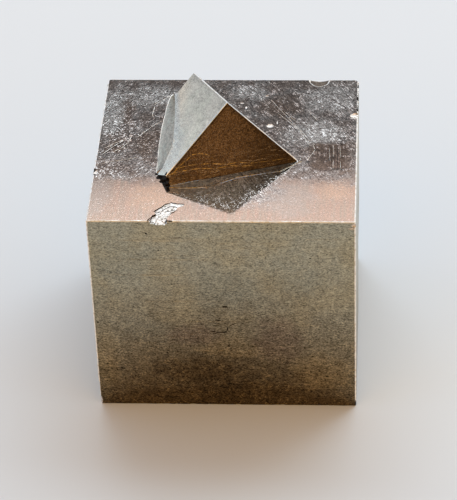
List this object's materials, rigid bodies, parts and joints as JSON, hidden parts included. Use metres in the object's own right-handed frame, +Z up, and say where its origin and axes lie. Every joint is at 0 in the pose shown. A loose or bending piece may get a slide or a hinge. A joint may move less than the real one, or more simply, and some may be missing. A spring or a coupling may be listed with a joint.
{
  "type": "pyrite cube specimen",
  "caption": "Natural pyrite cube with polished faces, with a smaller cube grown at an angle through its top face.",
  "frame": {"origin": "middle of the large cube's underside, on the surface that it rests on", "axes": "+Z up, through the top face that the small cube grows from; -Y the front face; +X to the right seen from the front"},
  "size_m": [0.05, 0.0472, 0.0579],
  "materials": {
    "pyrite": "smooth crystal faces, from mirror bright to satin, with thin brown tarnish"
  },
  "bodies": {
    "root": {"pyrite_crystal": "pyrite"}
  },
  "joints": []
}
